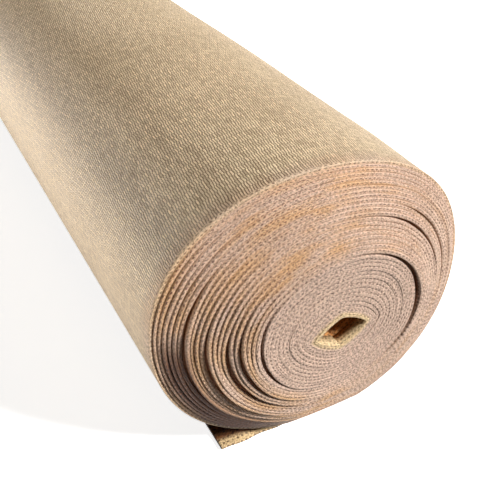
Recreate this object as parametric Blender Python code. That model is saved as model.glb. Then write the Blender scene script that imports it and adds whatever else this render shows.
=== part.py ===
"""A roll of knitted shade cloth, folded in two along its length and wound without a core.

Metres, +Z up. The roll lies along Y with its folded edges at the -Y end, and the origin
is on the floor under the middle of the roll. Seen from the -Y end the cloth winds inwards
against the clock, and its loose end lies on the floor towards -X.
"""

import math

import bmesh
import bpy

# The wound form. A turn is named by its share of the way out: 0 at the hole, 1 outside.
HALF_WIDTH = 0.150          # half the roll's width, as it lies
HALF_HEIGHT = 0.125         # half its height: the soft roll has sagged to an oval
FLOOR_FULLNESS = 1.035      # the lower half is this much fuller, and flat where it rests
CORNER_FULLNESS = 0.013     # share by which the oval bulges between its four sides
WRAP_POWER = 6              # the inner turns lose that bulge, and the wrap's own, this fast
INNER_ROUNDNESS = 0.004     # turns half way in are taller than the oval by this
CLOTH_WIDTH = 1.830         # the folded cloth, from its fold to its two outer edges
TURN_PITCH = 0.0034         # one turn of folded cloth in the outer wrap
REST_SPACING = 0.030        # how fast the turns rise from the floor, inwards from the wrap

# The wrap's soft bands along the roll, on its upper side only
RIPPLE = 0.0012             # how much they stand up
RIPPLE_PER_METRE = 17.0     # radians of a band's wave
RIPPLE_SWAY = 2.0           # radians by which a band leans as it runs round
RIPPLE_SWAY_FROM = 0.6
RIPPLE_REACH = 0.35         # how far below the middle they go on

# The ends. The inner turns have slid towards -Y, each turn as a whole.
CORE_TURN = 0.425           # the turns within this one lie level and make the flat middle
CORE_STAND_OUT = 0.032      # how far that middle stands out past the outer wrap
STEP_STEEPNESS = 1.2        # how the turns between step back, 1 being evenly
LOW_STEEPNESS = 1.2         # added at the bottom, where they step back late
RIM_DEEPER = 0.003          # the outer wrap's edge, behind its mean plane
RIM_DEEPER_LEFT = 0.004
RIM_DEEPER_TOP = 0.007
RIM_DEEPER_SIDES = 0.003
END_TAPER = 0.030           # the near end draws in at the upper right by this share
TAPER_ANGLE = 30.0          # degrees from +X towards +Z
TAPER_LENGTH = 0.100
EDGE_ROUND = 0.003          # the outermost turn rolls over at its edges

# Where the rings of points lie: turns on the ends, and depths in metres along the wrap
CORE_RINGS = (0.0, 0.10, 0.22, 0.34)
RIM_RINGS = (0.90, 0.96)
FAR_END_RINGS = (0.96, 0.84, 0.70, 0.56, 0.43, 0.22, 0.0)
NEAR_DEPTHS = (0.02, 0.05, 0.10, 0.18, 0.28, 0.38, 0.48, 0.58, 0.68, 0.78, 0.88)
FAR_DEPTHS = (0.85, 0.75, 0.65, 0.55, 0.45, 0.35, 0.25, 0.15, 0.06)
HOLE_STEPS = 4              # lengths of the hole's wall

# The hole left by the winding bar, pressed to a lozenge
HOLE_HALF_WIDTH = 0.0215
HOLE_HALF_HEIGHT = 0.0130
HOLE_DROP = 0.0090          # its middle lies this far below the middle of the roll
HOLE_TILT = 3.0             # degrees, up towards +X
HOLE_SQUARENESS = 1.3       # 1 makes a sharp lozenge, 2 an oval
OVAL_FROM = 0.30            # the turns outside this one are oval

# Open gaps between turns at the near end. Each runs at the inner turn given, is widest
# and deepest at its middle angle, and closes over the spread to each side of it.
GAP_COLUMNS = ("turn", "width", "depth", "middle", "spread")
GAPS = (
    (0.445, 0.0040, 0.014, 20.0, 95.0),
    (0.445, 0.0040, 0.014, 195.0, 70.0),
    (0.520, 0.0034, 0.012, 210.0, 62.0),
    (0.585, 0.0032, 0.011, 210.0, 66.0),
    (0.680, 0.0030, 0.010, 200.0, 50.0),
    (0.680, 0.0022, 0.006, 30.0, 60.0),
    (0.805, 0.0042, 0.011, 182.0, 52.0),
)
CLOSED_WIDTH = 0.0012       # a closed gap stays a fine line, this wide and half as deep

# The loose end, folded in two and flat on the floor
TAIL_REACH = 0.0955         # its cut edge, from the middle of the roll
TAIL_LAYER = 0.0012
TAIL_LAYER_GAP = 0.0006
TAIL_COLUMNS = 14
TAIL_STEPS = (0.0, 0.003, 0.006, 0.009, 0.012, 0.015, 0.018, 0.022, 0.030, 0.060)
TAIL_SHARES = (0.15, 0.35, 0.60, 0.80, 1.0)     # further steps, as shares of the width
FOLD_STEPS = 6              # round the fold
PLEAT_HEIGHT = 0.0060       # a pleat stands up in its upper layer
PLEAT_WIDTH = 0.0060
PLEAT_LENGTH = 0.0400
PLEAT_MIDDLE_X = -0.0790
PLEAT_IN = 0.0100           # from the fold
PLEAT_TURN = 22.0           # degrees

SEAM_ANGLE = 261.0          # degrees, where the outermost turn leaves the roll
AROUND = 80                 # points around each turn
SEAM_STEP = 0.25            # degrees between the two points at the seam
SEAM_FROM = 0.80            # the points close up at the seam outside this turn
SEAM_OVER = 0.15

NEAR_PLANE = -CLOTH_WIDTH / 2 + CORE_STAND_OUT / 2
FAR_PLANE = NEAR_PLANE + CLOTH_WIDTH

CLOTH_COLOUR = (0.60, 0.44, 0.29)
TAIL_COLOUR = (0.64, 0.47, 0.30)
CLOTH_ROUGHNESS = 0.85
SHARP_ANGLE = 35.0          # degrees


def clear_scene():
    for found in list(bpy.data.objects):
        bpy.data.objects.remove(found, do_unlink=True)


def cloth_material(name, colour):
    material = bpy.data.materials.new(name)
    material.use_nodes = True
    shader = material.node_tree.nodes["Principled BSDF"]
    shader.inputs["Base Color"].default_value = (*colour, 1.0)
    shader.inputs["Roughness"].default_value = CLOTH_ROUGHNESS
    shader.inputs["Metallic"].default_value = 0.0
    return material


def add_object(name, shape, material):
    mesh = bpy.data.meshes.new(name)
    shape.to_mesh(mesh)
    shape.free()
    mesh.materials.append(material)
    mesh.shade_smooth()
    mesh.set_sharp_from_angle(angle=math.radians(SHARP_ANGLE))
    made = bpy.data.objects.new(name, mesh)
    bpy.context.scene.collection.objects.link(made)


def mix(first, second, share):
    return first + (second - first) * share


def ease(value):
    value = min(1.0, max(0.0, value))
    return value * value * (3.0 - 2.0 * value)


def signed_power(value, power):
    return math.copysign(abs(value) ** power, value)


def round_angles(turn):
    """Angles once round from the seam. The two points at it close up towards the wrap."""
    even_step = 360.0 / AROUND
    step = mix(even_step, SEAM_STEP, ease((turn - SEAM_FROM) / SEAM_OVER))
    spacing = (360.0 - step) / (AROUND - 1)
    return [math.radians(SEAM_ANGLE + step / 2 + spacing * index) for index in range(AROUND)]


def turn_point(turn, angle):
    """X and Z of a turn at an angle. The wrap winds in by one pitch, once round."""
    wound = (math.degrees(angle) - SEAM_ANGLE) / 360.0
    roundness = mix(HOLE_SQUARENESS, 2.0, ease(turn / OVAL_FROM))
    across = signed_power(math.cos(angle), 2.0 / roundness)
    up = signed_power(math.sin(angle), 2.0 / roundness)
    half_width = mix(HOLE_HALF_WIDTH, HALF_WIDTH, turn)
    half_height = mix(HOLE_HALF_HEIGHT, HALF_HEIGHT, turn)
    half_height += INNER_ROUNDNESS * math.sin(math.pi * turn)
    if up < 0.0:
        half_height *= mix(1.0, FLOOR_FULLNESS, turn)
    wrap = turn ** WRAP_POWER
    scale = 1.0 - wrap * CORNER_FULLNESS * math.cos(4.0 * angle)
    scale -= wrap * wound * TURN_PITCH / HALF_HEIGHT
    tilt = math.radians(HOLE_TILT) * (1.0 - turn) ** 2
    x, z = half_width * across * scale, half_height * up * scale
    x, z = x * math.cos(tilt) - z * math.sin(tilt), x * math.sin(tilt) + z * math.cos(tilt)
    z += HALF_HEIGHT - HOLE_DROP * (1.0 - turn) ** 3
    lowest = REST_SPACING * (1.0 - turn)
    if wound > 0.5:
        lowest += TURN_PITCH * wrap
    return x, max(z, lowest)


def slide(turn, angle):
    """How far a turn's edge lies behind the mean plane of the outer wrap's edge."""
    rim = RIM_DEEPER + RIM_DEEPER_TOP * math.sin(angle) - RIM_DEEPER_LEFT * math.cos(angle)
    rim += RIM_DEEPER_SIDES * math.cos(2.0 * angle)
    low = max(0.0, -math.sin(angle)) ** 2
    out = max(0.0, (turn - CORE_TURN) / (1.0 - CORE_TURN))
    out **= STEP_STEEPNESS + LOW_STEEPNESS * low
    return mix(-CORE_STAND_OUT, rim, out)


def drawn_in(x, z, angle, depth, turn):
    """The near end's taper at the upper right, fading over its length."""
    aside = max(0.0, math.cos(angle - math.radians(TAPER_ANGLE))) ** 2
    fade = (1.0 - ease(depth / TAPER_LENGTH)) * max(0.0, 2.0 * turn - 1.0)
    scale = 1.0 - END_TAPER * aside * fade
    return x * scale, HALF_HEIGHT + (z - HALF_HEIGHT) * scale


def gap_opening(rows, angle):
    """Width and depth of a gap at an angle, from the rows at the same turn."""
    width, depth = CLOSED_WIDTH, CLOSED_WIDTH / 2
    for row in rows:
        aside = (math.degrees(angle) - row["middle"] + 180.0) % 360.0 - 180.0
        open_share = ease(1.0 - abs(aside) / row["spread"])
        width = max(width, row["width"] * open_share)
        depth = max(depth, row["depth"] * open_share)
    return width, depth


def end_ring(turn, side=-1, inset=None):
    """One ring of an end face. An inset gives its step aside and its step in, by angle."""
    ring = []
    for angle in round_angles(turn):
        aside, deep = inset(angle) if inset else (0.0, 0.0)
        moved = turn + aside / HALF_WIDTH
        x, z = turn_point(moved, angle)
        y = slide(moved, angle)
        if side < 0:
            x, z = drawn_in(x, z, angle, 0.0, moved)
            y += NEAR_PLANE + deep
        else:
            y += FAR_PLANE - deep
        ring.append((x, y, z))
    return ring


def near_end_rings():
    """From the hole's edge out to the wrap, with each gap as a groove of three rings."""
    rings = [end_ring(turn) for turn in CORE_RINGS]
    rows_by_turn = {}
    for row in [dict(zip(GAP_COLUMNS, row)) for row in GAPS]:
        rows_by_turn.setdefault(row["turn"], []).append(row)
    for turn, rows in sorted(rows_by_turn.items()):

        def groove(part, rows=rows):
            def inset(angle):
                width, depth = gap_opening(rows, angle)
                return width * part, depth if part == 0.5 else 0.0
            return inset

        rings += [end_ring(turn, inset=groove(part)) for part in (0.0, 0.5, 1.0)]
    rings += [end_ring(turn) for turn in RIM_RINGS]
    return rings


def body_ring(depth, draw, side=-1):
    """A ring of the outer wrap: depth is measured in from the end's edge, draw inwards."""
    ring = []
    for angle in round_angles(1.0):
        x, z = turn_point(1.0, angle)
        if side < 0:
            x, z = drawn_in(x, z, angle, depth, 1.0)
            y = NEAR_PLANE + slide(1.0, angle) + depth
        else:
            y = FAR_PLANE + slide(1.0, angle) - depth
        middle = HALF_HEIGHT
        far_out = math.hypot(x, z - middle)
        sway = RIPPLE_SWAY * math.sin(angle + RIPPLE_SWAY_FROM)
        band = 0.5 + 0.5 * math.sin(y * RIPPLE_PER_METRE + sway)
        upper = ease(math.sin(angle) + RIPPLE_REACH)
        inward = draw + RIPPLE * band * upper * ease(depth / TAPER_LENGTH)
        scale = 1.0 - inward / far_out
        z = middle + (z - middle) * scale
        ring.append((x * scale, y, max(z, 0.0)))
    return ring


def wrap_rings():
    """Along the wrap, with its two edges rolled over."""
    lip = EDGE_ROUND * (1.0 - math.sqrt(0.5))
    rings = [body_ring(0.0, EDGE_ROUND), body_ring(lip, lip), body_ring(EDGE_ROUND, 0.0)]
    rings += [body_ring(depth, 0.0) for depth in NEAR_DEPTHS]
    rings += [body_ring(depth, 0.0, 1) for depth in FAR_DEPTHS]
    rings += [body_ring(EDGE_ROUND, 0.0, 1), body_ring(lip, lip, 1),
              body_ring(0.0, EDGE_ROUND, 1)]
    return rings


def far_end_rings():
    return [end_ring(turn, 1) for turn in FAR_END_RINGS]


def hole_rings():
    """Back through the hole, from the far end to the near one."""
    near = NEAR_PLANE - CORE_STAND_OUT
    rings = []
    for index in range(1, HOLE_STEPS):
        y = near + CLOTH_WIDTH * (1.0 - index / HOLE_STEPS)
        edge = [turn_point(0.0, angle) for angle in round_angles(0.0)]
        rings.append([(x, y, z) for x, z in edge])
    return rings


def skin(shape, rings, closed):
    """Faces between neighbouring rings, each ring closed on itself."""
    made = [[shape.verts.new(point) for point in ring] for ring in rings]
    pairs = list(zip(made, made[1:]))
    if closed:
        pairs.append((made[-1], made[0]))
    for first, second in pairs:
        count = len(first)
        for index in range(count):
            after = (index + 1) % count
            shape.faces.new((first[index], first[after], second[after], second[index]))
    return made


def cloth_roll():
    """The wound form: one closed skin, out over the near end, along, and back inside."""
    shape = bmesh.new()
    rings = near_end_rings() + wrap_rings() + far_end_rings() + hole_rings()
    skin(shape, rings, closed=True)
    bmesh.ops.recalc_face_normals(shape, faces=shape.faces)
    add_object("cloth_roll", shape, cloth_material("knitted_cloth", CLOTH_COLOUR))


def pleat_lift(x, y_from_fold):
    """A soft pleat in the loose end's upper layer, near its corner."""
    turned = math.radians(PLEAT_TURN)
    along = (x - PLEAT_MIDDLE_X) * math.cos(turned) - (y_from_fold - PLEAT_IN) * math.sin(turned)
    aside = (x - PLEAT_MIDDLE_X) * math.sin(turned) + (y_from_fold - PLEAT_IN) * math.cos(turned)
    ridge = math.exp(-(aside / (PLEAT_WIDTH / 2)) ** 2)
    return PLEAT_HEIGHT * ridge * ease(1.0 - abs(along) / (PLEAT_LENGTH / 2))


def loose_end():
    """The cloth's end: two layers, one section with the fold at -Y, carried along X."""
    seam = math.radians(SEAM_ANGLE)
    root = HALF_WIDTH * math.cos(seam) - TURN_PITCH / 2
    reach = -TAIL_REACH
    fold_y = NEAR_PLANE + slide(1.0, seam)
    thick = 2 * TAIL_LAYER + TAIL_LAYER_GAP
    middle = thick / 2
    steps_in = list(TAIL_STEPS) + [CLOTH_WIDTH * share for share in TAIL_SHARES]
    arc = [math.radians(mix(-90.0, 90.0, index / FOLD_STEPS)) for index in range(FOLD_STEPS + 1)]

    def bend(radius):
        """Round the fold, from the lower layer to the upper one."""
        return [(middle - radius * math.cos(turn), middle + radius * math.sin(turn), False)
                for turn in arc]

    def layer(height, upper):
        return [(middle + step, height, upper) for step in steps_in[1:]]

    outer = layer(0.0, False)[::-1] + bend(middle) + layer(thick, True)
    inner = layer(thick - TAIL_LAYER, True)[::-1]
    inner += bend(middle - TAIL_LAYER)[::-1] + layer(TAIL_LAYER, False)
    section = outer + inner
    shape = bmesh.new()
    rings = []
    for index in range(TAIL_COLUMNS + 1):
        x = mix(reach, root, index / TAIL_COLUMNS)
        rings.append([
            (x, fold_y + y, z + (pleat_lift(x, y) if upper else 0.0)) for y, z, upper in section
        ])
    made = skin(shape, rings, closed=False)
    shape.faces.new(made[0])
    shape.faces.new(made[-1])
    bmesh.ops.recalc_face_normals(shape, faces=shape.faces)
    add_object("loose_end", shape, cloth_material("knitted_cloth_end", TAIL_COLOUR))


def main():
    clear_scene()
    cloth_roll()
    loose_end()


main()
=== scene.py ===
import math

import bmesh
import bpy
import numpy as np
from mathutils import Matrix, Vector


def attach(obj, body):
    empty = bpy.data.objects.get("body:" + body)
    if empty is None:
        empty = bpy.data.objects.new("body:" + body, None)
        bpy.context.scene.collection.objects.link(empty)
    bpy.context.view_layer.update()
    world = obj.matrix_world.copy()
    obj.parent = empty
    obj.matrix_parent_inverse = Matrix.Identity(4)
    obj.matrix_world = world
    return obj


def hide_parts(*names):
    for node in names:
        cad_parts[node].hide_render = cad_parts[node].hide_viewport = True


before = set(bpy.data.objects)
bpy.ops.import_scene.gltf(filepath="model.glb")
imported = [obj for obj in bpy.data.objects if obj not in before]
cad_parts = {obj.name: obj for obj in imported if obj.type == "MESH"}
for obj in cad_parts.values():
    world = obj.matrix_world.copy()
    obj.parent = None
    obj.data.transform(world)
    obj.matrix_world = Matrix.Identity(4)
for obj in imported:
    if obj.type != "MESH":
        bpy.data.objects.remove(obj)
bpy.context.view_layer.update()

# The roll's form. A turn's share is 0 at the hole and 1 at the outer wrap. Lengths in metres.
roll = {
    "halfWidth": 0.150,
    "halfHeight": 0.125,
    "floorFullness": 0.035,     # extra half height below, pressed flat on the floor
    "floorRise": 0.100,         # how fast the turns' undersides rise off the floor, inwards
    "floorStep": 0.0009,        # what the first turn inwards rises besides
    "cornerFullness": 0.013,
    "cornerPower": 6,
    "innerRoundness": 0.004,
    "clothWidth": 1.830,
    "turns": 37,
    "seamAngle": 261.0,         # degrees, where the last turn runs out onto the floor
    "coreShare": 0.425,         # inside it the turns lie level
    "coreStandOut": 0.032,
    "stepSteepness": 1.2,
    "lowSteepness": 1.2,
    "rimDeeper": 0.003,
    "rimDeeperLeft": 0.004,
    "rimDeeperTop": 0.007,
    "rimDeeperSides": 0.003,
    "endTaper": 0.030,
    "taperAngle": 30.0,
    "taperLength": 0.100,
    "holeHalfWidth": 0.0215,
    "holeHalfHeight": 0.0130,
    "holeDrop": 0.0090,
    "dropPower": 3,
    "holeTilt": 3.0,
    "tiltPower": 2,
    "holeSquareness": 1.3,
    "ovalFrom": 0.30,
}
turnPitch = (roll["halfWidth"] - roll["holeHalfWidth"]) / roll["turns"]
nearPlane = -roll["clothWidth"] / 2 + roll["coreStandOut"] / 2
farPlane = nearPlane + roll["clothWidth"]


def ease(value):
    value = np.clip(value, 0.0, 1.0)
    return value * value * (3.0 - 2.0 * value)


def between(first, second, share):
    return first + (second - first) * share


def signedPower(value, power):
    return np.sign(value) * np.abs(value) ** power


def turnPlace(share, angle):
    # X and Z of a turn's outer side
    roundness = between(roll["holeSquareness"], 2.0, ease(share / roll["ovalFrom"]))
    across = signedPower(np.cos(angle), 2.0 / roundness)
    up = signedPower(np.sin(angle), 2.0 / roundness)
    wide = between(roll["holeHalfWidth"], roll["halfWidth"], share)
    high = between(roll["holeHalfHeight"], roll["halfHeight"], share)
    high = high + roll["innerRoundness"] * np.sin(np.pi * share)
    high = high * np.where(up < 0.0, 1.0 + roll["floorFullness"] * share, 1.0)
    corners = np.abs(share) ** roll["cornerPower"] * np.cos(4.0 * angle)
    scale = 1.0 - roll["cornerFullness"] * corners
    inward = 1.0 - share
    tilt = math.radians(roll["holeTilt"]) * inward ** roll["tiltPower"]
    x, z = wide * across * scale, high * up * scale
    x, z = x * np.cos(tilt) - z * np.sin(tilt), x * np.sin(tilt) + z * np.cos(tilt)
    z = z + roll["halfHeight"] - roll["holeDrop"] * inward ** roll["dropPower"]
    lowest = roll["floorRise"] * inward
    lowest = lowest + roll["floorStep"] * np.clip(inward * roll["turns"], 0.0, 1.0)
    return x, np.maximum(z, lowest)


def edgeSlide(share, angle):
    # how far a turn's edge lies behind the mean plane of the wrap's edge
    rim = roll["rimDeeper"] + roll["rimDeeperTop"] * np.sin(angle)
    rim = rim - roll["rimDeeperLeft"] * np.cos(angle) + roll["rimDeeperSides"] * np.cos(2 * angle)
    low = np.maximum(0.0, -np.sin(angle)) ** 2
    out = np.clip((share - roll["coreShare"]) / (1.0 - roll["coreShare"]), 0.0, None)
    out = out ** (roll["stepSteepness"] + roll["lowSteepness"] * low)
    return between(-roll["coreStandOut"], rim, out)


def drawIn(x, z, angle, depth, share):
    # the near end's taper at the upper right
    aside = np.maximum(0.0, np.cos(angle - math.radians(roll["taperAngle"]))) ** 2
    fade = (1.0 - ease(depth / roll["taperLength"])) * np.maximum(0.0, 2.0 * share - 1.0)
    scale = 1.0 - roll["endTaper"] * aside * fade
    return x * scale, roll["halfHeight"] + (z - roll["halfHeight"]) * scale


# Where turns stand apart at the near end: the share of the gap, and how wide it opens
# around its middle angle (degrees), closing over the spread to both sides.
# The turns outside it lie deeper by the ledge, which runs out over ledgeReach of the share.
gapColumns = ("share", "middle", "spread", "width", "ledge")
gapRows = (
    (0.095, 55.0, 60.0, 0.0006, 0.0000),
    (0.185, 200.0, 60.0, 0.0005, 0.0000),
    (0.275, 30.0, 50.0, 0.0006, 0.0000),
    (0.445, 8.0, 84.0, 0.0050, -0.0035),
    (0.445, 92.0, 70.0, 0.0010, 0.0000),
    (0.445, 196.0, 66.0, 0.0036, 0.0010),
    (0.540, 205.0, 64.0, 0.0032, 0.0020),
    (0.595, 206.0, 62.0, 0.0040, 0.0030),
    (0.640, 40.0, 62.0, 0.0030, -0.0015),
    (0.700, 200.0, 56.0, 0.0026, 0.0030),
    (0.735, 15.0, 56.0, 0.0032, -0.0018),
    (0.850, 5.0, 45.0, 0.0024, -0.0012),
    (0.820, 190.0, 62.0, 0.0022, 0.0025),
    (0.905, 196.0, 50.0, 0.0008, 0.0010),
)
gaps = [dict(zip(gapColumns, row)) for row in gapRows]
ledgeReach = 0.10
closedAngle = 270.0         # every gap is shut here, where the cloth crosses from side to side

turnEnds = {
    "thickness": 0.992,         # of the pitch, so that neighbours stay a little apart
    "looseThickness": 0.94,
    "depth": 0.013,             # how far in each folded turn is built
    "step": 0.0011,             # between points along the cloth
    "foldSteps": (-1.0, -0.82, -0.45, 0.0, 0.45, 0.82, 1.0),    # over a fold, side to side
    "looseRound": 0.0011,       # how far a fold bulges on loose turns, and on pressed ones
    "pressedRound": 0.00018,
    "foldHalf": 0.0023,         # from a fold's middle to its flat side, along the cloth
    "stitchPair": 0.0044,       # the folds' stitches stand up in pairs this far apart
    "stitchSlant": 0.35,
    "stitchRelief": 0.00010,
    "holeShallow": 0.30,        # by the hole only this share of the depth shades a turn
    "holeReach": 0.08,
    "coreTurns": 17,
    "outerTurns": 30,
}

# How evenly the turns lie: a seed and the lengths of the waves, in turns or metres of cloth
uneven = {
    "edge": 0.0013,             # of the folds' line, along Y
    "place": 0.00030,           # of the turns' place, outwards
    "edgeByTurn": (11, (2.3, 5.9, 1.37)),
    "edgeByLength": (3, (0.23, 0.097, 0.051)),
    "placeByLength": (5, (0.31, 0.133, 0.071)),
    "farEdgeByTurn": (21, (1.9, 4.3, 1.21)),
    "looseByTurn": (31, (1.7, 3.1, 1.13)),
    "turnPart": 0.6,            # of the edge's unevenness, from turn to turn
    "pressedPart": 0.35,        # what is left of it on pressed turns
    "seamClear": 0.6,           # the last turns lie even, and over how many it fades
    "seamFade": 1.2,
}

# Which turns are loose: the cosine about the left and right angles, from a start up a slope
looseTurns = {
    "fromShare": 0.41,
    "shareFade": 0.05,
    "pressed": 0.06,
    "left": 0.80,
    "leftAngle": 213.0,
    "leftStart": 0.2,
    "leftSlope": 1.1,
    "right": 0.34,
    "rightAngle": 8.0,
    "rightStart": -0.2,
    "rightSlope": 1.2,
    "inner": 0.70,
    "outer": 1.10,
    "outerFrom": 0.68,
    "outerFade": 0.10,
}

# The outer turns at the lower left stand apart and lie in shadow, and light is lost between them:
# painted shade darkens them
paintedShadeLowLeft = {
    "fromShare": 0.74,
    "shareFade": 0.07,
    "angle": 211.0,
    "cosine": 0.72,             # where they end on both sides of the angle
    "cosineFade": 0.20,
    "litAngle": 175.0,          # about this angle the outermost turns lie in the light
    "litCosine": 0.55,
    "litCosineFade": 0.35,
    "litShare": 0.89,
    "litShareFade": 0.06,
    "lit": 0.80,
}


def angleOf(turn):
    return np.radians(roll["seamAngle"] + 360.0 * (roll["turns"] - turn))


def openness(gap, degrees):
    # 1 at a gap's middle angle, 0 where it is shut
    aside = np.abs((degrees - gap["middle"] + 180.0) % 360.0 - 180.0)
    return ease(1.0 - aside / gap["spread"])


def gapTurn(share):
    # the turn number at which this gap changes sides, on the closed angle
    whole = round(roll["turns"] * (1.0 - share))
    return roll["turns"] - whole - (closedAngle - roll["seamAngle"]) / 360.0


def waver(along, waves):
    # a smooth uneven line from a few waves, between about -1 and 1
    seed, lengths = waves
    rng = np.random.default_rng(seed)
    total = 0.0
    for length in lengths:
        total = total + np.sin(2 * np.pi * (along / length + rng.random()))
    return total / len(lengths)


def shareOf(turn):
    degrees = roll["seamAngle"] + 360.0 * (roll["turns"] - turn)
    opened = 0.0
    passed = 0.0
    for gap in gaps:
        width = gap["width"] / roll["halfWidth"] * openness(gap, degrees)
        opened = opened + width
        passed = passed + width * (turn > gapTurn(gap["share"]))
    return turn / roll["turns"] * (1.0 - opened) + passed


# the cloth's length to each turn number, so that neighbouring pieces share one pattern
sampleCount = 9000
turnSamples = np.linspace(0.0, roll["turns"], sampleCount)
sampleX, sampleZ = turnPlace(shareOf(turnSamples), angleOf(turnSamples))
sampleLengths = np.concatenate([[0.0], np.cumsum(np.hypot(np.diff(sampleX), np.diff(sampleZ)))])
print("cloth wound up, in metres:", round(float(sampleLengths[-1]), 2))


def alongCloth(first, last, step):
    # turn numbers at even steps of cloth from one turn number to another, and their lengths
    start, end = np.interp([first, last], turnSamples, sampleLengths)
    lengths = np.linspace(start, end, int((end - start) / step) + 1)
    return np.interp(lengths, sampleLengths, turnSamples), lengths


def gapLedge(turn, share, degrees):
    # how much deeper a turn's edge lies for the open gaps just inside it
    deeper = 0.0
    for gap in gaps:
        outside = (turn > gapTurn(gap["share"])) * np.clip(
            1.0 - (share - gap["share"]) / ledgeReach, 0.0, 1.0)
        deeper = deeper + gap["ledge"] * openness(gap, degrees) * outside
    return deeper


def looseness(turn, share, angle):
    outside = ease((share - looseTurns["fromShare"]) / looseTurns["shareFade"])
    left = np.cos(angle - math.radians(looseTurns["leftAngle"]))
    left = ease(looseTurns["leftStart"] + looseTurns["leftSlope"] * left)
    right = np.cos(angle - math.radians(looseTurns["rightAngle"]))
    right = ease(looseTurns["rightStart"] + looseTurns["rightSlope"] * right)
    side = looseTurns["pressed"] + looseTurns["left"] * left + looseTurns["right"] * right
    byTurn = 0.5 + 0.5 * waver(turn, uneven["looseByTurn"])
    outwards = ease((share - looseTurns["outerFrom"]) / looseTurns["outerFade"])
    return outside * side * byTurn * between(looseTurns["inner"], looseTurns["outer"], outwards)


# painted shade on the outer turns at the lower left, less where they lie in the light
def paintedShade(share, angle):
    side = np.cos(angle - math.radians(paintedShadeLowLeft["angle"])) - paintedShadeLowLeft["cosine"]
    side = ease(side / paintedShadeLowLeft["cosineFade"])
    outside = ease((share - paintedShadeLowLeft["fromShare"]) / paintedShadeLowLeft["shareFade"])
    upper = np.cos(angle - math.radians(paintedShadeLowLeft["litAngle"])) - paintedShadeLowLeft["litCosine"]
    upper = ease(upper / paintedShadeLowLeft["litCosineFade"])
    lit = upper * ease((share - paintedShadeLowLeft["litShare"]) / paintedShadeLowLeft["litShareFade"])
    return outside * side * (1.0 - paintedShadeLowLeft["lit"] * lit)


weldDistance = 1e-6


def newPiece(name, places, patterns, values, material):
    # a grid laid over computed places, joined where its edges meet
    columns, rows = places.shape[:2]
    shape = bmesh.new()
    bmesh.ops.create_grid(shape, x_segments=columns - 1, y_segments=rows - 1, size=1.0)
    mesh = bpy.data.meshes.new(name)
    shape.to_mesh(mesh)
    shape.free()
    flat = np.empty(len(mesh.vertices) * 3)
    mesh.vertices.foreach_get("co", flat)
    flat = flat.reshape(-1, 3)
    column = np.rint((flat[:, 0] + 1) / 2 * (columns - 1)).astype(int)
    row = np.rint((flat[:, 1] + 1) / 2 * (rows - 1)).astype(int)
    mesh.vertices.foreach_set("co", places[column, row].ravel())
    corner = np.empty(len(mesh.loops), dtype=np.int32)
    mesh.loops.foreach_get("vertex_index", corner)
    layer = mesh.uv_layers.new(name="cloth")
    layer.data.foreach_set("uv", patterns[column, row][corner].astype(np.float32).ravel())
    for label, value in values.items():
        kept = mesh.attributes.new(label, "FLOAT", "POINT")
        kept.data.foreach_set("value", value[column, row].astype(np.float32))
    shape = bmesh.new()
    shape.from_mesh(mesh)
    bmesh.ops.remove_doubles(shape, verts=shape.verts, dist=weldDistance)
    rims = [edge for edge in shape.edges if edge.is_boundary]
    if rims:
        bmesh.ops.holes_fill(shape, edges=rims, sides=0)
    bmesh.ops.recalc_face_normals(shape, faces=shape.faces)
    shape.to_mesh(mesh)
    shape.free()
    mesh.shade_smooth()
    mesh.materials.append(material)
    piece = bpy.data.objects.new(name, mesh)
    bpy.context.scene.collection.objects.link(piece)
    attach(piece, "root")
    print(name, len(mesh.polygons), "faces")
    return piece


def laidSection(section, turn, along, share, edge, bulge, loose=0.0):
    # lays a turn's section at each turn number: for each point its place across the turn,
    # its depth, and its step over the fold or None
    angle = angleOf(turn)
    thick = between(turnEnds["thickness"], turnEnds["looseThickness"], loose) / roll["turns"]
    shape = (len(turn), len(section))
    places, patterns = np.empty(shape + (3,)), np.empty(shape + (2,))
    shadeDepths, shares, paintedShades = np.empty(shape), np.empty(shape), np.empty(shape)
    for index, (across, depth, foldStep) in enumerate(section):
        inset = depth
        spread = depth + turnEnds["foldHalf"]
        if foldStep is not None:
            crest = math.sqrt(max(0.0, 1.0 - foldStep * foldStep))
            pair = along / turnEnds["stitchPair"] + turnEnds["stitchSlant"] * foldStep
            stitch = turnEnds["stitchRelief"] * crest * np.cos(2 * np.pi * pair)
            inset = bulge * (1.0 - crest) + stitch
            spread = abs(foldStep) * turnEnds["foldHalf"]
        here = share - across * thick
        x, z = turnPlace(here, angle)
        x, z = drawIn(x, z, angle, depth, here)
        places[:, index] = np.stack([x, edge + inset, z], axis=1)
        patterns[:, index] = np.stack([along, np.full(len(turn), spread)], axis=1)
        # the depth that sets the painted shade, weaker by the hole
        lost = between(turnEnds["holeShallow"], 1.0, ease(here / turnEnds["holeReach"]))
        shadeDepths[:, index] = inset * lost
        # painted shade at the lower left
        paintedShades[:, index] = paintedShade(here, angle)
        shares[:, index] = here
    return places, patterns, {"share": shares, "depth": shadeDepths, "paintedShade": paintedShades}


def awayFromSeam(turn):
    # 0 on the last turns, which lie even, and 1 inside them
    return ease((roll["turns"] - uneven["seamClear"] - turn) / uneven["seamFade"])


def edgeLine(turn, along, share, loose):
    # where each turn's fold runs, along Y
    byTurn = uneven["turnPart"] * waver(turn, uneven["edgeByTurn"])
    byLength = (1.0 - uneven["turnPart"]) * waver(along, uneven["edgeByLength"])
    offset = uneven["edge"] * (byTurn + byLength) * between(uneven["pressedPart"], 1.0, loose)
    offset = offset + gapLedge(turn, share, np.degrees(angleOf(turn)))
    return nearPlane + edgeSlide(share, angleOf(turn)) + offset * awayFromSeam(turn)


def unevenShare(turn, along):
    offset = uneven["place"] / roll["halfWidth"] * waver(along, uneven["placeByLength"])
    return shareOf(turn) + offset * awayFromSeam(turn)


def foldSection():
    return [((step + 1) / 2, 0.0, step) for step in turnEnds["foldSteps"]]


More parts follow.
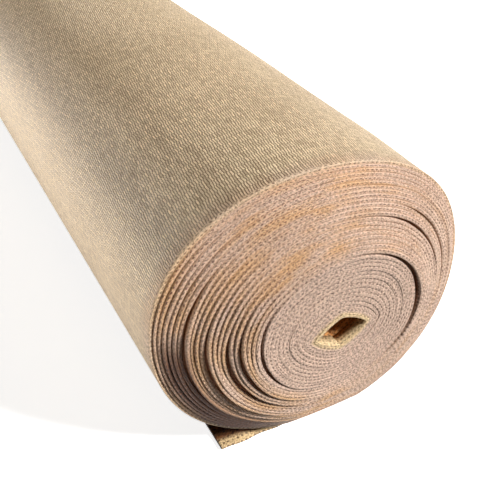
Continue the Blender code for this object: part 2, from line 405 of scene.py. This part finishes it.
def nearTurns(name, first, last, material):
    turn, along = alongCloth(first, last, turnEnds["step"])
    share = unevenShare(turn, along)
    loose = looseness(turn, share, angleOf(turn))
    bulge = between(turnEnds["pressedRound"], turnEnds["looseRound"], loose)
    deep = turnEnds["depth"]
    section = [(0.0, deep, None)] + foldSection() + [(1.0, deep, None), (0.0, deep, None)]
    edge = edgeLine(turn, along, share, loose)
    laid = laidSection(section, turn, along, share, edge, bulge, loose)
    return newPiece(name, *laid, material)


outerWrap = {
    "step": 0.0022,
    "nearDepths": (0.004, 0.008, 0.013, 0.020, 0.030),
    "rowsFrom": 0.042,
    "rowStep": 0.013,
    "innerDepths": (0.02, 0.06, 0.3, 0.9, 1.5),
    "edgeSlot": 0.006,          # how deep the two layers part at the far edge
    "slotShare": 0.12,
    "ripple": 0.0012,
    "rippleWaves": 17.0,        # radians to a metre of length
    "rippleSway": 2.0,
    "rippleTurn": 0.6,
    "rippleBelow": 0.35,        # how far below the middle height the ripple still shows
}


def wrapPiece(name, material):
    # the outermost turn, over the roll's whole length
    turn, along = alongCloth(roll["turns"] - 1.0, roll["turns"], outerWrap["step"])
    share = unevenShare(turn, along)
    angle = angleOf(turn)
    loose = looseness(turn, share, angle)
    bulge = between(turnEnds["pressedRound"], turnEnds["looseRound"], loose)
    edge = edgeLine(turn, along, share, loose)
    width = roll["clothWidth"]
    rows = int((width - outerWrap["rowsFrom"]) / outerWrap["rowStep"])
    bodyDepths = list(outerWrap["nearDepths"]) + list(np.linspace(outerWrap["rowsFrom"], width, rows))
    slot, half = outerWrap["edgeSlot"], outerWrap["slotShare"]
    section = [(0.0, depth, None) for depth in reversed(bodyDepths)]
    section += foldSection()
    section += [(1.0, depth, None) for depth in outerWrap["innerDepths"] + (width,)]
    section += [(0.5 + half, width, None), (0.5 + half / 2, width - slot, None)]
    section += [(0.5 - half / 2, width - slot, None), (0.5 - half, width, None)]
    section += [(0.0, width, None)]
    places, patterns, values = laidSection(section, turn, along, share, edge, bulge)
    sway = outerWrap["rippleSway"] * np.sin(angle + outerWrap["rippleTurn"])
    upper = ease(np.sin(angle) + outerWrap["rippleBelow"])
    for index, depth in enumerate(reversed(bodyDepths)):
        x, y, z = (places[:, index, axis] for axis in range(3))
        fade = ease(depth / roll["taperLength"]) * ease((width - depth) / roll["taperLength"])
        band = 0.5 + 0.5 * np.sin(y * outerWrap["rippleWaves"] + sway)
        inward = outerWrap["ripple"] * band * upper * fade
        scale = 1.0 - inward / np.hypot(x, z - roll["halfHeight"])
        places[:, index, 0] = x * scale
        places[:, index, 2] = roll["halfHeight"] + (z - roll["halfHeight"]) * scale
    return newPiece(name, places, patterns, values, material)


farEnds = {"step": 0.005, "depth": 0.014, "layer": 0.34, "slot": 0.005, "slotHalf": 0.08}


def farTurns(name, first, last, material):
    # the cloth's two outer edges, turn by turn, at the far end
    turn, along = alongCloth(first, last, farEnds["step"])
    share = unevenShare(turn, along)
    byTurn = uneven["edge"] * uneven["turnPart"] * waver(turn, uneven["farEdgeByTurn"])
    edge = nearPlane + edgeSlide(share, angleOf(turn)) + byTurn
    width, slot = roll["clothWidth"], farEnds["slot"]
    layer, half = farEnds["layer"], farEnds["slotHalf"]
    deep = width - farEnds["depth"]
    section = [(0.0, deep, None), (0.0, width, None), (layer, width, None)]
    section += [(0.5 - half, width - slot, None), (0.5 + half, width - slot, None)]
    section += [(1.0 - layer, width, None), (1.0, width, None), (1.0, deep, None), (0.0, deep, None)]
    laid = laidSection(section, turn, along, share, edge, turnEnds["pressedRound"])
    return newPiece(name, *laid, material)


innerPack = {
    "columns": 180,
    "nearSteps": 60,
    "outerSteps": 14,
    "farSteps": 12,
    "wallSteps": 30,
    "nearDepth": 0.0052,        # how far behind the folds' line it begins
    "farDepth": 0.010,
    "outerShare": 0.942,
    "holeMargin": 0.003,
    "seamFrom": 0.97,           # of a turn, where the wall closes on itself
    "taperFrom": 0.02,
    "faceStretch": 8,           # of the pattern, outwards over the face
    "faceShift": 0.3,
    "wallShade": 0.6,           # how fast the light is lost down the hole
}


def packPiece(name, material):
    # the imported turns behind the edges, and the wall of the hole, as one closed form
    degrees = np.linspace(0.0, 360.0, innerPack["columns"] + 1) + roll["seamAngle"]
    angle = np.radians(degrees)
    wound = 1.0 - (degrees - roll["seamAngle"]) / 360.0
    closing = ease((wound - innerPack["seamFrom"]) / (1.0 - innerPack["seamFrom"]))
    hole = innerPack["holeMargin"] + wound / roll["turns"] * (1.0 - closing)
    outerRings = np.linspace(0.0, 1.0, innerPack["outerSteps"])[1:-1] ** 2
    wallRings = np.linspace(0.0, 1.0, innerPack["wallSteps"])[:-1] ** 2
    profile = [(step, 0.0) for step in np.linspace(0.0, 1.0, innerPack["nearSteps"])]
    profile += [(1.0, step) for step in outerRings]
    profile += [(step, 1.0) for step in np.linspace(1.0, 0.0, innerPack["farSteps"])]
    profile += [(0.0, step) for step in reversed(wallRings)]
    shape = (len(angle), len(profile))
    places, patterns = np.empty(shape + (3,)), np.empty(shape + (2,))
    # the face behind the folds takes the painted shade of its depth
    shadeDepths, shares = np.full(shape, innerPack["nearDepth"]), np.empty(shape)
    wallX, wallZ = turnPlace(hole, angle)
    roundLength = np.concatenate([[0.0], np.cumsum(np.hypot(np.diff(wallX), np.diff(wallZ)))])
    for index, (out, far) in enumerate(profile):
        share = between(hole, innerPack["outerShare"], out)
        x, z = turnPlace(share, angle)
        x, z = drawIn(x, z, angle, innerPack["taperFrom"] + far, share)
        edge = nearPlane + edgeSlide(share, angle)
        start = edge + innerPack["nearDepth"] + gapLedge(share * roll["turns"], share, degrees)
        end = edge + roll["clothWidth"] - innerPack["farDepth"]
        y = between(start, end, far)
        places[:, index] = np.stack([x, y, z], axis=1)
        u = roundLength * (1 + innerPack["faceStretch"] * out)
        patterns[:, index] = np.stack([u, y - edge + innerPack["faceShift"] * out], axis=1)
        shares[:, index] = share
        # down the hole wall the painted shade grows with depth
        if out == 0.0:
            shadeDepths[:, index] = innerPack["wallShade"] * far * roll["clothWidth"]
    return newPiece(name, places, patterns, {"share": shares, "depth": shadeDepths}, material)


# The loose end: two layers lying on the floor, joined by the fold at the near end
looseEnd = {
    "reach": 0.0955,
    "flatLength": 0.072,        # of cloth, from the roll to the cut edge
    "layer": 0.0012,
    "layerGap": 0.0006,
    "step": 0.0012,
    "nearLength": 0.036,        # built in even steps, and the rest in fewer ones
    "farFrom": 0.040,
    "farSteps": 110,
    "foldSteps": 9,
    "wave": 0.0006,
    "waves": 190.0,             # radians to a metre
    "waveFade": 0.02,
    "pleatHeight": 0.0060,
    "pleatWidth": 0.0060,
    "pleatLength": 0.0400,
    "pleatX": -0.0790,
    "pleatIn": 0.0100,
    "pleatTurn": 22.0,
    "creaseBeyond": 0.0030,     # behind the pleat the cloth is shaded
    "pleatShadow": 0.0110,
    "shadowBySide": 0.13,       # towards the roll less of it lies in the light
}


def pleatLift(x, inward):
    turned = math.radians(looseEnd["pleatTurn"])
    offX, offY = x - looseEnd["pleatX"], inward - looseEnd["pleatIn"]
    along = offX * math.cos(turned) - offY * math.sin(turned)
    aside = offX * math.sin(turned) + offY * math.cos(turned)
    ridge = np.exp(-(aside / (looseEnd["pleatWidth"] / 2)) ** 2)
    return looseEnd["pleatHeight"] * ridge * ease(1.0 - np.abs(along) / (looseEnd["pleatLength"] / 2))


def looseSection():
    # depth, height and whether it is the upper layer: round the outside, then back inside
    layer = looseEnd["layer"]
    thick = 2 * layer + looseEnd["layerGap"]
    middle = thick / 2
    small = middle - layer
    nearSteps = np.arange(0.0, looseEnd["nearLength"], looseEnd["step"])
    farSteps = np.linspace(looseEnd["farFrom"], roll["clothWidth"] - middle, looseEnd["farSteps"])
    inward = middle + np.concatenate([nearSteps, farSteps])[1:]
    arc = np.radians(np.linspace(-90.0, 90.0, looseEnd["foldSteps"]))
    section = [(deep, 0.0, 0.0) for deep in inward[::-1]]
    section += [(middle - middle * math.cos(turn), middle + middle * math.sin(turn), 0.0)
                for turn in arc]
    section += [(deep, thick, 1.0) for deep in inward]
    section += [(deep, thick - layer, 1.0) for deep in inward[::-1]]
    section += [(middle - small * math.cos(turn), middle + small * math.sin(turn), 0.0)
                for turn in arc[::-1]]
    section += [(deep, layer, 0.0) for deep in inward]
    return section + [section[0]]


def looseEndPiece(name, material):
    seam = math.radians(roll["seamAngle"])
    root = float(turnPlace(1.0, seam)[0])
    foldY = nearPlane + float(edgeSlide(1.0, seam))
    columns = int((looseEnd["reach"] + root) / looseEnd["step"])
    x = np.linspace(-looseEnd["reach"], root, columns + 1)
    along = float(sampleLengths[-1]) + root - x
    section = looseSection()
    shape = (len(x), len(section))
    places, patterns = np.empty(shape + (3,)), np.empty(shape + (2,))
    shadeDepths = np.empty(shape)
    for index, (deep, z, upper) in enumerate(section):
        lift = upper * pleatLift(x, deep)
        fade = math.exp(-deep / looseEnd["waveFade"])
        y = foldY + deep + looseEnd["wave"] * np.sin(x * looseEnd["waves"]) * fade
        places[:, index] = np.stack([x, y, z + lift], axis=1)
        patterns[:, index] = np.stack([along, np.full(len(x), deep)], axis=1)
        # painted shadow behind the pleat and towards the roll, carried in the depth
        pleatShade = pleatLift(x, deep - looseEnd["creaseBeyond"]) / looseEnd["pleatHeight"]
        bySide = looseEnd["shadowBySide"] * (x + looseEnd["reach"])
        shadeDepths[:, index] = deep + looseEnd["pleatShadow"] * pleatShade + bySide
    values = {"share": np.ones(shape), "depth": shadeDepths}
    return newPiece(name, places, patterns, values, material)


# Finishes

specularLevel = 0.35


class Wire:
    # a socket that takes Python's own signs
    def __init__(self, finish, socket):
        self.finish, self.socket = finish, socket

    def __add__(self, other):
        return self.finish.maths("ADD", self, other)

    __radd__ = __add__

    def __sub__(self, other):
        return self.finish.maths("SUBTRACT", self, other)

    def __rsub__(self, other):
        return self.finish.maths("SUBTRACT", other, self)

    def __mul__(self, other):
        return self.finish.maths("MULTIPLY", self, other)

    __rmul__ = __mul__

    def __truediv__(self, other):
        return self.finish.maths("DIVIDE", self, other)

    def __abs__(self):
        return self.finish.maths("ABSOLUTE", self)


class Finish:
    def __init__(self, name, roughness):
        self.material = bpy.data.materials.new(name)
        self.material.use_nodes = True
        self.tree = self.material.node_tree
        self.shader = self.tree.nodes["Principled BSDF"]
        self.shader.inputs["Roughness"].default_value = roughness
        self.shader.inputs["Specular IOR Level"].default_value = specularLevel

    def node(self, kind, settings, inputs, output=0):
        made = self.tree.nodes.new(kind)
        for key, value in settings.items():
            setattr(made, key, value)
        for key, value in inputs.items():
            if isinstance(value, Wire):
                self.tree.links.new(value.socket, made.inputs[key])
            else:
                made.inputs[key].default_value = value
        return Wire(self, made.outputs[output])

    def split(self, wire):
        parts = self.tree.nodes.new("ShaderNodeSeparateXYZ")
        self.tree.links.new(wire.socket, parts.inputs[0])
        return [Wire(self, socket) for socket in parts.outputs]

    def joined(self, x, y, z):
        return self.node("ShaderNodeCombineXYZ", {}, {0: x, 1: y, 2: z})

    def kept(self, label):
        # a value that the piece carries at its points
        return self.node("ShaderNodeAttribute", {"attribute_name": label}, {}, output=2)

    def maths(self, operation, *values):
        return self.node("ShaderNodeMath", {"operation": operation}, dict(enumerate(values)))

    def whole(self, wire):
        return self.maths("FLOOR", wire)

    def part(self, wire):
        return self.maths("FRACT", wire)

    def fromMiddle(self, wire):
        # how far a value's part is from one half: 0 in the middle, 1 at both ends
        return abs(self.part(wire) - 0.5) * 2

    def smooth(self, wire, low, high):
        return self.node(
            "ShaderNodeMapRange", {"interpolation_type": "SMOOTHSTEP"},
            {"Value": wire, "From Min": low, "From Max": high, "To Min": 0.0, "To Max": 1.0})

    def fading(self, wire, low, high):
        return 1 - self.smooth(wire, low, high)

    def chance(self, first, second):
        # an even random value for each pair of whole numbers
        cell = self.joined(first, second, 0.0)
        return self.node("ShaderNodeTexWhiteNoise", {"noise_dimensions": "3D"}, {"Vector": cell})

    def noise(self, vector, scale, detail):
        return self.node(
            "ShaderNodeTexNoise", {"noise_dimensions": "3D"},
            {"Vector": vector, "Scale": scale, "Detail": detail, "Roughness": 0.5})

    def blend(self, first, second, factor, mode="MIX"):
        # a colour between two colours
        made = self.tree.nodes.new("ShaderNodeMix")
        made.data_type, made.blend_type = "RGBA", mode
        sockets = {"Factor": made.inputs[0], "A": made.inputs[6], "B": made.inputs[7]}
        for key, value in (("Factor", factor), ("A", first), ("B", second)):
            if isinstance(value, Wire):
                self.tree.links.new(value.socket, sockets[key])
            else:
                sockets[key].default_value = value
        return Wire(self, made.outputs[2])

    def blendPair(self, first, second, factor):
        return [self.blend(one, other, factor) for one, other in zip(first, second)]

    def feed(self, name, wire):
        self.tree.links.new(wire.socket, self.shader.inputs[name])


def shade(red, green, blue):
    # a colour as it looks, from 0 to 255, as the shader takes it
    linear = [(value / 255 + 0.055) / 1.055 for value in (red, green, blue)]
    linear = [value ** 2.4 if value * 1.055 - 0.055 > 0.04045 else value / 12.92 for value in linear]
    return (*linear, 1.0)


# The slanting stitches over the cloth's width
knit = {
    "course": 0.0022,           # between stitches along the cloth
    "rows": 0.0070,             # between the chains of stitches across it
    "lean": 0.21,               # how far a stitch leans on its way across, in courses
    "wander": 0.0012,           # the stitches' uneven places
    "wanderScale": 120.0,
    "flank": 0.45,              # where a stitch's flank begins, from its middle
    "pairDark": 0.25,           # every second stitch, at the most
    "unevenDark": 0.35,
    "rowEnd": 0.72,
    "rowEndDark": 0.25,
    "grain": (0.55, 0.80),      # the yarn's loops: the least, and what the lightest add
    "relief": 0.0006,
    "reliefStrength": 0.8,
    "roughness": 0.50,
}

# The rows of holes by the fold
lace = {
    "band": 0.0060,             # how far from the fold they reach
    "bandFade": 0.15,
    "row": 0.0043,
    "holeAlong": 0.00125,       # half lengths of a hole
    "holeAcross": 0.00080,
    "holeEdge": (0.60, 1.25),
    "faintest": 0.60,           # of the holes
    "grain": (0.22, 1.15),
    "depthOnTurns": (0.85, 0.15),       # pink folds, and what orange ones add
    "depthOnWrap": 0.9,
    "depthOnEnd": 1.0,
    "unevenRows": 1.2,
    "unevenScale": 22.0,
}

# The yarn's fine loops, half a course long: their height is a share of that
yarnLoops = {"height": 0.75, "edge": 0.5, "least": 0.15, "leastShape": 0.45}

# Light and dark colour of each kind of yarn
yarns = {
    "body": (shade(255, 231, 193), shade(96, 62, 30)),
    "pinkFold": (shade(233, 200, 176), shade(72, 36, 18)),
    "orangeFold": (shade(232, 188, 142), shade(92, 42, 12)),
    "core": (shade(231, 198, 176), shade(62, 38, 26)),
    "hole": (shade(250, 220, 172), shade(84, 54, 28)),
    "end": (shade(232, 200, 150), shade(70, 40, 16)),
}

# Between which shares of the roll the core's and the hole's yarn give way to the next
coreEnds = (0.40, 0.47)
holeEnds = (0.030, 0.062)
# How far the folds' colour runs on over the wrap, in metres from the fold, and how strongly
warmRim = {"ends": (0.002, 0.026), "strength": 0.60}
# The folds' orange streaks: how fine round the roll and across the turns, and more at the left
streaks = {"round": 2.4, "across": 15.0, "left": 0.10, "ends": (0.38, 0.76)}
# Soft patches over all the cloth: for each colour the least, and what the lightest adds
patches = {"scale": 9.0, "red": (0.85, 0.30), "green": (0.84, 0.32), "blue": (0.81, 0.36)}
# painted shade over the outer turns at the lower left
paintedShadeTint = shade(136, 108, 90)
# painted shadow on the loose end, under the roll's overhang and behind the pleat
overhangShadowTint = (shade(140, 98, 64), 0.0065, 0.0120)
depthShadeTints = (                       # painted shade over a turn's sides, and between which depths it comes
    (shade(238, 190, 146), 0.0015, 0.0060),
    (shade(204, 148, 106), 0.0070, 0.0150),
    (shade(92, 56, 38), 0.0130, 0.0260),
)


class KnitFinish(Finish):
    # the cloth's own look, laid out by the pattern that each piece carries
    def __init__(self, name):
        super().__init__(name, knit["roughness"])
        pattern = self.node("ShaderNodeUVMap", {"uv_map": "cloth"}, {})
        along, self.v = self.split(pattern)[:2]
        self.place = self.node("ShaderNodeTexCoord", {}, {}, output=3)
        wander = self.noise(self.place, knit["wanderScale"], detail=2.0) - 0.5
        self.u = along + wander * (2 * knit["wander"])

    def byFold(self):
        # 1 in the lacy band by the fold, and 0 beyond it
        band, fade = lace["band"], lace["bandFade"]
        return self.fading(self.v, band * (1 - fade), band * (1 + fade))

    def foldStreaks(self):
        # how orange the folds are, in streaks round the roll
        x, _, z = self.split(self.place)
        outward = self.joined(x, 0.0, z - roll["halfHeight"])
        outward = self.node("ShaderNodeVectorMath", {"operation": "NORMALIZE"}, {0: outward})
        x, _, z = self.split(outward)
        fine = streaks["round"]
        vector = self.joined(x * fine, self.kept("share") * streaks["across"], z * fine)
        streak = self.noise(vector, 1.0, detail=3.0) - streaks["left"] * x
        return self.smooth(streak, *streaks["ends"])

    def foldYarn(self, warm):
        return self.blendPair(yarns["pinkFold"], yarns["orangeFold"], warm)

    def loops(self, side):
        # rows of small rounds, each lighter or darker by chance
        loop = knit["course"] / 2
        rows = side / (yarnLoops["height"] * loop)
        row = self.whole(rows)
        places = self.u / loop + row * 0.5
        across = self.fading(self.fromMiddle(rows), yarnLoops["edge"], 1.0)
        along = self.fading(self.fromMiddle(places), yarnLoops["edge"], 1.0)
        least, leastShape = yarnLoops["least"], yarnLoops["leastShape"]
        light = least + (1 - least) * self.chance(self.whole(places), row)
        return light * (leastShape + (1 - leastShape) * across * along)

    def stitches(self, grain):
        # the height of the slanting stitches
        rows = (self.v - lace["band"]) / knit["rows"]
        row = self.whole(rows)
        places = self.u / knit["course"] + row * 0.5 - self.part(rows) * knit["lean"]
        stitch = self.whole(places)
        stroke = self.fading(self.fromMiddle(places), knit["flank"], 1.0)
        dark = knit["pairDark"] * self.part(stitch * 0.5)
        dark = dark + knit["unevenDark"] * self.chance(stitch, row)
        rowEnd = knit["rowEndDark"] * self.smooth(self.fromMiddle(rows), knit["rowEnd"], 1.0)
        least, added = knit["grain"]
        return stroke * (1.0 - dark) * (1.0 - rowEnd) * (least + added * grain)

    def holes(self, lines, grain, holeDepth):
        # the height of the lacy band, with a row of holes on each line
        line = self.whole(lines)
        places = self.u / (2 * knit["course"]) + line * 0.5
        across = (self.part(lines) - 0.5) * (lace["row"] / lace["holeAcross"])
        along = (self.part(places) - 0.5) * (2 * knit["course"] / lace["holeAlong"])
        away = self.maths("SQRT", along * along + across * across)
        seen = self.chance(self.whole(places), line)
        faintest = lace["faintest"]
        hole = self.fading(away, *lace["holeEdge"]) * (faintest + (1 - faintest) * seen)
        least, added = lace["grain"]
        return (least + added * grain) * (1 - hole * holeDepth)

    def yarnColour(self, pair, height):
        return self.blend(pair[1], pair[0], height)

    def finished(self, height, colour):
        patch = self.noise(self.place, patches["scale"], detail=3.0)
        shades = [patches[name][0] + patches[name][1] * patch for name in ("red", "green", "blue")]
        tone = self.node("ShaderNodeCombineColor", {}, dict(enumerate(shades)))
        self.feed("Base Color", self.blend(colour, tone, 1.0, "MULTIPLY"))
        self.feed("Normal", self.node("ShaderNodeBump", {}, {
            "Strength": knit["reliefStrength"], "Distance": knit["relief"], "Height": height}))
        return self.material


def turnsFinish(name):
    # the folds, the turns' sides and the wall of the hole
    cloth = KnitFinish(name)
    share = cloth.kept("share")
    depth = cloth.kept("depth")
    warm = cloth.foldStreaks()
    atHole = cloth.fading(share, *holeEnds)
    lacy = cloth.maths("MAXIMUM", cloth.byFold(), atHole)
    inTurn = cloth.maths("MAXIMUM", cloth.v - turnEnds["foldHalf"], 0.0)
    turned = share * roll["turns"] + inTurn / turnPitch
    unevenRows = cloth.noise(cloth.place, lace["unevenScale"], detail=1.0) - 0.5
    grain = cloth.loops(turned * turnPitch)
    pinkDepth, orangeMore = lace["depthOnTurns"]
    holes = cloth.holes(turned + unevenRows * lace["unevenRows"], grain,
                        pinkDepth + orangeMore * warm)
    height = lacy * holes + (1 - lacy) * cloth.stitches(grain)
    pair = cloth.blendPair(cloth.foldYarn(warm), yarns["core"], cloth.fading(share, *coreEnds))
    pair = cloth.blendPair(pair, yarns["hole"], atHole)
    colour = cloth.yarnColour(pair, height)
    # painted shade over the outer turns at the lower left
    colour = cloth.blend(colour, paintedShadeTint, cloth.kept("paintedShade"), "MULTIPLY")
    # painted shade over a turn's sides, darker the deeper they lie
    for tint, low, high in depthShadeTints:
        colour = cloth.blend(colour, tint, cloth.smooth(depth, low, high), "MULTIPLY")
    return cloth.finished(height, colour)


def wrapFinish(name):
    # the outer wrap, and the cloth's edges at the far end
    cloth = KnitFinish(name)
    grain = cloth.loops(cloth.v)
    holes = cloth.holes(cloth.v / lace["row"] + 0.5, grain, lace["depthOnWrap"])
    byFold = cloth.byFold()
    height = byFold * holes + (1 - byFold) * cloth.stitches(grain)
    atRim = cloth.fading(cloth.v, *warmRim["ends"]) * warmRim["strength"]
    pair = cloth.blendPair(yarns["body"], cloth.foldYarn(cloth.foldStreaks()), atRim)
    return cloth.finished(height, cloth.yarnColour(pair, height))


def endFinish(name):
    # the loose end, lacy all over, with painted shadow under the roll's overhang and behind the pleat
    cloth = KnitFinish(name)
    height = cloth.holes(cloth.v / lace["row"] + 0.5, cloth.loops(cloth.v), lace["depthOnEnd"])
    tint, low, high = overhangShadowTint
    colour = cloth.yarnColour(yarns["end"], height)
    # painted shadow under the roll's overhang and behind the pleat
    overhangShadow = cloth.smooth(cloth.kept("depth"), low, high)
    colour = cloth.blend(colour, tint, overhangShadow, "MULTIPLY")
    return cloth.finished(height, colour)


turnsCloth = turnsFinish("knittedTurns")
wrapCloth = wrapFinish("knittedWrap")
endCloth = endFinish("knittedEnd")
print("finishes made")

core = nearTurns("coreTurns", 1.0, turnEnds["coreTurns"], turnsCloth)
middle = nearTurns("middleTurns", turnEnds["coreTurns"], turnEnds["outerTurns"], turnsCloth)
outer = nearTurns("outerTurns", turnEnds["outerTurns"], roll["turns"] - 1.0, turnsCloth)
wrap = wrapPiece("outerWrap", wrapCloth)
far = farTurns("farEdges", 1.0, roll["turns"] - 1.0, wrapCloth)
pack = packPiece("packedTurns", turnsCloth)
loose = looseEndPiece("looseEndCloth", endCloth)

for piece in (core, middle, outer, wrap, far, pack):
    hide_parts("cloth_roll")
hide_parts("loose_end")

# Studio

view = {
    "focal": 720.0,             # in pixels of the 500-pixel frame
    "frameWidth": 500.0,
    "sensor": 36.0,
    "nearest": 0.01,
    "cameraAt": (-0.2664, -0.3733 + nearPlane, 0.5007),
    "cameraYaw": -28.33,
    "cameraDown": 35.50,
}
keyLamp = {"from": (1.07, -1.03, 1.10), "power": 6.45, "softness": 12.0}
lowLamp = {"at": (-0.440, 0.08, 0.050), "power": 16.6, "colour": (1.0, 0.975, 0.93),
           "wide": 0.16, "long": 2.1, "turned": 3.0}
farLamp = {"at": (0.40, 2.10, 0.26), "power": 9.0, "wide": 0.40}    # for views of the far end
sky = {"colour": (1.0, 0.80, 0.60, 1.0), "strength": 0.03}
stage = {
    "roughness": 0.9,
    "floorSize": 12.0,
    "floorDrop": 0.0005,
    "floorShade": (0.95, 0.95, 0.95, 1.0),
    "floorGlow": 0.85,          # the lit table of a photo studio
    "backdropRadius": 11.0,
    "backdropShade": (0.0, 0.0, 0.0, 1.0),
    "backdropGlow": 1.0,
    "glowColour": (1.0, 1.0, 1.0, 1.0),
}


def addCamera(name):
    data = bpy.data.cameras.new(name)
    data.sensor_width = view["sensor"]
    data.lens = view["focal"] / view["frameWidth"] * view["sensor"]
    data.clip_start = view["nearest"]
    camera = bpy.data.objects.new(name, data)
    camera.location = view["cameraAt"]
    camera.rotation_euler = (
        math.radians(90.0 - view["cameraDown"]), 0.0, math.radians(view["cameraYaw"]))
    bpy.context.scene.collection.objects.link(camera)
    bpy.context.scene.camera = camera


def addLamp(name, kind, settings):
    data = bpy.data.lights.new(name, kind)
    for key, value in settings.items():
        setattr(data, key, value)
    lamp = bpy.data.objects.new(name, data)
    lamp.visible_camera = False
    bpy.context.scene.collection.objects.link(lamp)
    return lamp


def stagePiece(name, shape, colour, glow):
    # a glowing surface for the camera, which lends the roll no diffuse light
    mesh = bpy.data.meshes.new(name)
    shape.to_mesh(mesh)
    shape.free()
    finish = Finish(name, stage["roughness"])
    finish.shader.inputs["Base Color"].default_value = colour
    finish.shader.inputs["Emission Color"].default_value = stage["glowColour"]
    finish.shader.inputs["Emission Strength"].default_value = glow
    mesh.materials.append(finish.material)
    piece = bpy.data.objects.new(name, mesh)
    bpy.context.scene.collection.objects.link(piece)
    piece.visible_diffuse = False
    return piece


addCamera("photoCamera")

key = addLamp("keyLamp", "SUN", {
    "energy": keyLamp["power"], "angle": math.radians(keyLamp["softness"])})
key.rotation_euler = Vector(keyLamp["from"]).to_track_quat("Z", "Y").to_euler()
low = addLamp("lowLamp", "AREA", {
    "energy": lowLamp["power"], "color": lowLamp["colour"], "shape": "RECTANGLE",
    "size": lowLamp["wide"], "size_y": lowLamp["long"]})
low.location = lowLamp["at"]
low.rotation_euler = (0.0, math.radians(180.0 + lowLamp["turned"]), 0.0)
fill = addLamp("farLamp", "AREA", {
    "energy": farLamp["power"], "shape": "SQUARE", "size": farLamp["wide"]})
fill.location = farLamp["at"]
facing = Vector(farLamp["at"]) - Vector((0.0, farPlane, roll["halfHeight"]))
fill.rotation_euler = facing.to_track_quat("Z", "Y").to_euler()

world = bpy.context.scene.world or bpy.data.worlds.new("studioSky")
bpy.context.scene.world = world
world.use_nodes = True
background = world.node_tree.nodes["Background"]
background.inputs["Color"].default_value = sky["colour"]
background.inputs["Strength"].default_value = sky["strength"]

floorShape = bmesh.new()
bmesh.ops.create_grid(floorShape, x_segments=1, y_segments=1, size=stage["floorSize"])
floor = stagePiece("studioFloor", floorShape, stage["floorShade"], stage["floorGlow"])
floor.location = (0.0, 0.0, -stage["floorDrop"])
backdropShape = bmesh.new()
bmesh.ops.create_icosphere(backdropShape, subdivisions=4, radius=stage["backdropRadius"])
backdrop = stagePiece("studioBackdrop", backdropShape, stage["backdropShade"], stage["backdropGlow"])
backdrop.visible_shadow = False
backdrop.visible_glossy = False
bpy.context.scene.view_settings.view_transform = "Standard"
print("studio set")
